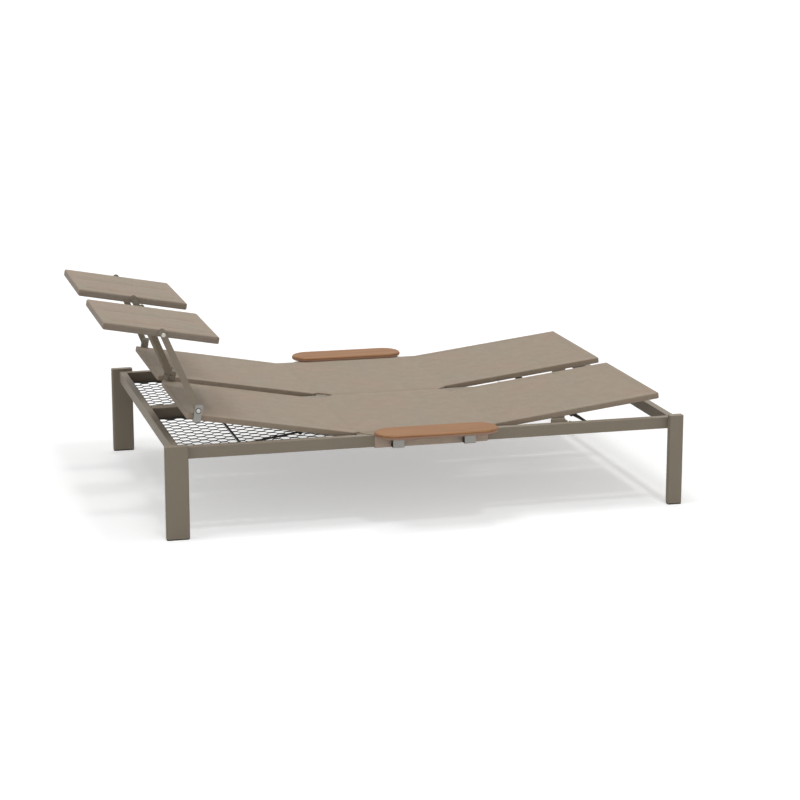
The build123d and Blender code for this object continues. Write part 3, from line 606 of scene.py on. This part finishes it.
def turn_about(piece, pivot, degrees, start=None, end=None):
    """Turn about an axis along y: all of it, or none before start along x and fully after end."""
    for point in piece.data.vertices:
        share = 1.0
        if start is not None:
            share = smooth_step(0.0, 1.0, (point.co.x - start) / (end - start))
        turn = Matrix.Rotation(math.radians(degrees) * share, 3, "Y")
        point.co = pivot + turn @ (point.co - pivot)


def near_copy(piece, name, pitch=None):
    """The mirror image about the middle plane, or a copy moved sideways by a pitch."""
    twin = piece.copy()
    twin.data = piece.data.copy()
    twin.name = name
    twin.data.name = name
    bpy.context.scene.collection.objects.link(twin)
    if pitch:
        twin.data.transform(Matrix.Translation((0.0, -pitch, 0.0)))
    else:
        twin.data.transform(Matrix.Scale(-1.0, 4, (0.0, 1.0, 0.0)))
        twin.data.flip_normals()
    return twin


def panel_cover(name, hinge, end_x, seat_x, degrees):
    """The cover of a back or leg rest, drawn level with the seat strip's end, then turned."""
    way = 1.0 if end_x > hinge.x else -1.0
    top = hinge.z + panel_thickness / 2
    bottom = hinge.z - panel_thickness / 2
    tail_x = hinge.x - way * panel_tail
    crease_x = hinge.x + way * crease_back
    cover = new_block(name, (min(end_x, tail_x), panel_inner, bottom),
                      (max(end_x, tail_x), panel_outer, top))
    bpy.ops.object.mode_set(mode="EDIT")
    slice_piece(2, [top - seat_cloth])
    pick_faces(cover, lambda c, n: -way * n.x > facing and c.z > top - seat_cloth)
    push_out((seat_x - tail_x, 0.0, 0.0))
    pick_edges(cover, lambda a, b: not meets(a.z, b.z) and meets(a.x, end_x) and meets(b.x, end_x))
    bpy.ops.mesh.bevel(offset=panel_corner, segments=corner_steps)
    pick_edges(cover, lambda a, b: meets(a.z, b.z) and (meets(a.z, top) or meets(a.z, bottom))
               and not (meets(a.x, seat_x) and meets(b.x, seat_x)))
    bpy.ops.mesh.bevel(offset=panel_edge, segments=edge_steps)
    edges = (panel_edge + edge_margin, tube_width - tube_slope / 2, tube_width,
             tube_width + tube_slope / 2, tube_width + tube_slope)
    across = [panel_inner + e for e in edges] + [panel_outer - e for e in edges]
    across += steps_between(panel_inner + edges[-1], panel_outer - edges[-1], station_gap)
    along = [end_x - way * e for e in edges]
    along += steps_between(end_x - way * edges[-1], crease_x, station_gap)
    along.append(crease_x)
    along += steps_between(crease_x, seat_x, crease_gap)
    slice_piece(1, across)
    slice_piece(0, along)
    bpy.ops.object.mode_set(mode="OBJECT")
    for point in cover.data.vertices:
        if point.co.z > top - on_top:
            inside = min(point.co.y - panel_inner, panel_outer - point.co.y,
                         abs(point.co.x - end_x))
            before_seat = smooth_step(0.0, sag_run, abs(point.co.x - seat_x))
            point.co.z -= cloth_sag * before_seat * smooth_step(
                tube_width - tube_slope, tube_width + tube_slope, inside)
    map_in_metres(cover)
    turn_about(cover, hinge, degrees, seat_x, crease_x)
    cover.data.materials.append(greige_cloth)
    bpy.ops.object.shade_smooth_by_angle(angle=smooth_angle)
    return cover


back_hinge = Vector(joints["back_recline_far"]["pos_m"])
leg_hinge = Vector(joints["leg_rest_lift_far"]["pos_m"])
back_hinge.y = 0.0
leg_hinge.y = 0.0
seat_head = back_hinge.x + seat_hinge_gap
seat_foot = leg_hinge.x - seat_hinge_gap

back_cover = panel_cover("back_cover_far", back_hinge, back_hinge.x - back_reach, seat_head,
                         back_degrees)
leg_cover = panel_cover("leg_rest_cover_far", leg_hinge, leg_hinge.x + leg_reach, seat_foot,
                        -leg_degrees)
for side in ("far", "near"):
    for cover, body, sleeve, hinge, seat_x in (
            (back_cover, "back_", "back_sleeve_", back_hinge, seat_head),
            (leg_cover, "leg_rest_", "leg_rest_sleeve_", leg_hinge, seat_foot)):
        piece = cover if side == "far" else near_copy(cover, cover.name.replace("far", "near"))
        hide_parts(sleeve + side)
        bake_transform(piece)

# The seat cloth bridges the middle rail and the side rail and is pulled round the rail's outside,
# where a paler copy of the cloth is painted light against the armrest's shadow. It is thinner under
# the armrest, and cut back at a slant at its ends.
# Half a millimetre and a small round at each side of the middle show where two cloths meet.
seat_low, seat_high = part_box("seat_sling_far")
seam = 0.0005
rail_outer = 0.680
rail_bottom = 0.296
wrap_outer = seat_high.y
wrap_bottom = seat_low.z
wrap_lip = 0.020
head_notch = 0.075
foot_notch = 0.044
notch_run = 0.047
beside_gap = 0.0003
seat_sag = 0.0014
seat_sag_run = 0.12
armrest_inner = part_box("armrest_far")[0].y
rail_fabric_drop = 0.004
shoulder_edge = 0.0015
seam_edge = 0.003
seam_steps = 3

wide_head = back_hinge.x + head_notch
wide_foot = leg_hinge.x - foot_notch
seat_top = seat_high.z
seat_under = seat_top - seat_cloth
seat = new_block("seat_cover_far", (wide_head, seam, seat_under), (wide_foot, wrap_outer, seat_top))
beside = (panel_inner - beside_gap, panel_outer + beside_gap)
narrow_head = wide_head - notch_run
narrow_foot = wide_foot + notch_run
bpy.ops.object.mode_set(mode="EDIT")
slice_piece(1, [beside[0], panel_inner, panel_outer, beside[1], rail_outer])
pick_faces(seat, lambda c, n: n.x < -facing)
push_out((narrow_head - wide_head, 0.0, 0.0))
pick_faces(seat, lambda c, n: n.x < -facing and panel_inner < c.y < panel_outer)
push_out((seat_head - narrow_head, 0.0, 0.0))
pick_faces(seat, lambda c, n: n.x > facing)
push_out((seat_foot - wide_foot, 0.0, 0.0))
pick_faces(seat, lambda c, n: n.x > facing and not beside[0] < c.y < beside[1])
push_out((narrow_foot - seat_foot, 0.0, 0.0))
bpy.ops.object.mode_set(mode="OBJECT")
for point in seat.data.vertices:
    slant = max((beside[0] - point.co.y) / (beside[0] - seam),
                (point.co.y - beside[1]) / (wrap_outer - beside[1]))
    reach = notch_run * (1.0 - max(0.0, slant))
    if slant > 0.0:
        point.co.x = min(max(point.co.x, wide_head - reach), wide_foot + reach)
pick_faces(seat, lambda c, n: True)
bpy.ops.mesh.remove_doubles(threshold=touching)
pick_faces(seat, lambda c, n: n.z < -facing and c.y > rail_outer and wide_head < c.x < wide_foot)
push_out((0.0, 0.0, wrap_bottom - seat_under))
slice_piece(2, [rail_bottom])
pick_faces(seat, lambda c, n: n.y < -facing and c.z < rail_bottom)
push_out((0.0, -wrap_lip, 0.0))
for side_y, edge, steps in ((wrap_outer, shoulder_edge, edge_steps), (seam, seam_edge, seam_steps)):
    pick_edges(seat, lambda a, b: meets(a.y, side_y) and meets(b.y, side_y)
               and meets(a.z, seat_top) and meets(b.z, seat_top))
    bpy.ops.mesh.bevel(offset=edge, segments=steps)
slice_piece(1, [armrest_inner] + steps_between(panel_inner, panel_outer, station_gap))
slice_piece(0, steps_between(wide_head, wide_foot, station_gap))
bpy.ops.object.mode_set(mode="OBJECT")
for point in seat.data.vertices:
    if point.co.z > seat_top - on_top and panel_inner < point.co.y < panel_outer:
        across = math.sin(math.pi * (point.co.y - panel_inner) / (panel_outer - panel_inner))
        ends = smooth_step(0.0, seat_sag_run, min(point.co.x - seat_head, seat_foot - point.co.x))
        point.co.z -= seat_sag * across * ends
    if point.co.z > seat_top - 2 * shoulder_edge and point.co.y > panel_outer:
        to_armrest = (point.co.y - panel_outer) / (armrest_inner - panel_outer)
        point.co.z -= rail_fabric_drop * min(1.0, to_armrest)
map_in_metres(seat)
dress(seat, painted_light_wrap_cloth, lambda c, n: n.y > 0.5 and c.y > rail_outer)
bpy.ops.object.shade_smooth_by_angle(angle=smooth_angle)
for side in ("far", "near"):
    piece = seat if side == "far" else near_copy(seat, "seat_cover_near")
    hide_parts("seat_sling_" + side)
    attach(piece, "frame")

# Each canopy is a thin padded board in the same cloth, with two seams from head to foot.
# The foam swells a millimetre or two between the seams; the edges are boxed. The side bands and
# the seam lines wear a darker copy of the cloth as painted shade. Both canopies sit off the middle
# of their lounger, the same way.
canopy_reach = 0.221
canopy_length = 0.429
canopy_width = 0.485
canopy_thickness = 0.0295
canopy_rise = 0.019
canopy_degrees = 10.3
canopy_shift = 0.0087
canopy_corner = 0.004
canopy_edge = 0.003
canopy_edge_steps = 3
canopy_start = 0.0012
canopy_voxel = 0.004
canopy_cap = 0.0022
canopy_seams = (0.075, 0.283)
canopy_pitch = 0.7014
seam_margin = 0.040
seam_fade = 0.004
seam_width = 0.004
seam_depth = 0.0026
channel_rise = 0.016
seam_shade_band = 0.0022
painted_shade_normal = 0.6
foam_pressure = 4.0
swell_frames = 20
canopy_smooth_angle = math.radians(50.0)

canopy_pivot = Vector(joints["canopy_tilt_far"]["pos_m"])
canopy_middle = (panel_inner + panel_outer) / 2 + canopy_shift
canopy_low = Vector((canopy_pivot.x - canopy_reach, canopy_middle - canopy_width / 2,
                     canopy_pivot.z + canopy_rise - canopy_thickness))
canopy_high = canopy_low + Vector((canopy_length, canopy_width, canopy_thickness))
canopy_pivot.y = 0.0
inset = Vector((0.0, 0.0, canopy_start))
canopy = new_block("canopy_cover_far", canopy_low + inset, canopy_high - inset)
pick_edges(canopy, lambda a, b: not meets(a.z, b.z))
bpy.ops.mesh.bevel(offset=canopy_corner, segments=corner_steps)
pick_edges(canopy, lambda a, b: meets(a.z, b.z))
bpy.ops.mesh.bevel(offset=canopy_edge, segments=canopy_edge_steps)
bpy.ops.object.mode_set(mode="OBJECT")
remesh = canopy.modifiers.new("skin", "REMESH")
remesh.mode = "VOXEL"
remesh.voxel_size = canopy_voxel
bpy.ops.object.modifier_apply(modifier=remesh.name)
seams = [canopy_low.y + place for place in canopy_seams]
rest = [point.co.copy() for point in canopy.data.vertices]


def from_seam(place):
    """The distances to the nearer seam and to the nearer of the canopy's two ends."""
    return (min(abs(place.y - line) for line in seams),
            min(place.x - canopy_low.x, canopy_high.x - place.x))


def seam_hold(place):
    """1 on a seam or at the boxed edge, 0 in the middle of a channel."""
    sides = min(place.y - canopy_low.y, canopy_high.y - place.y)
    return 1.0 - smooth_step(seam_width, channel_rise, min(sides, *from_seam(place)))


holds = canopy.vertex_groups.new(name="holds")
for index, place in enumerate(rest):
    holds.add([index], seam_hold(place), "REPLACE")
cloth = canopy.modifiers.new("swell", "CLOTH")
cloth.settings.vertex_group_mass = holds.name
cloth.settings.use_pressure = True
cloth.settings.uniform_pressure_force = foam_pressure
cloth.settings.effector_weights.gravity = 0.0
cloth.point_cache.frame_end = swell_frames
for number in range(1, swell_frames + 1):
    bpy.context.scene.frame_set(number)
bpy.ops.object.modifier_apply(modifier=cloth.name)
bpy.context.scene.frame_set(1)
canopy.vertex_groups.clear()
for point, place in zip(canopy.data.vertices, rest):
    move = point.co - place
    if move.length > canopy_cap:
        move = move.normalized() * canopy_cap
    point.co = place + move
    if place.z > canopy_high.z - 2 * canopy_edge:
        to_seam, to_end = from_seam(place)
        point.co.z -= (seam_depth * (1.0 - smooth_step(0.0, seam_width, to_seam))
                       * smooth_step(seam_margin - seam_fade, seam_margin, to_end))
smooth = canopy.modifiers.new("finer", "SUBSURF")
smooth.levels = 1
smooth.render_levels = 1
bpy.ops.object.modifier_apply(modifier=smooth.name)
map_in_metres(canopy)


def on_seam(place):
    """True beside a seam on the top, between the seam's two ends."""
    to_seam, to_end = from_seam(place)
    return place.z > canopy_pivot.z and to_seam < seam_shade_band and to_end > seam_margin


# The side bands and the strips beside the seams take the darker copy: painted shade.
dress(canopy, painted_shade_cloth, lambda c, n: n.z < painted_shade_normal or on_seam(c))
turn_about(canopy, canopy_pivot, canopy_degrees)
bpy.ops.object.shade_smooth_by_angle(angle=canopy_smooth_angle)
for side in ("far", "near"):
    piece = canopy if side == "far" else near_copy(canopy, "canopy_cover_near", canopy_pitch)
    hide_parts("canopy_sleeve_" + side)
    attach(piece, "canopy_" + side)
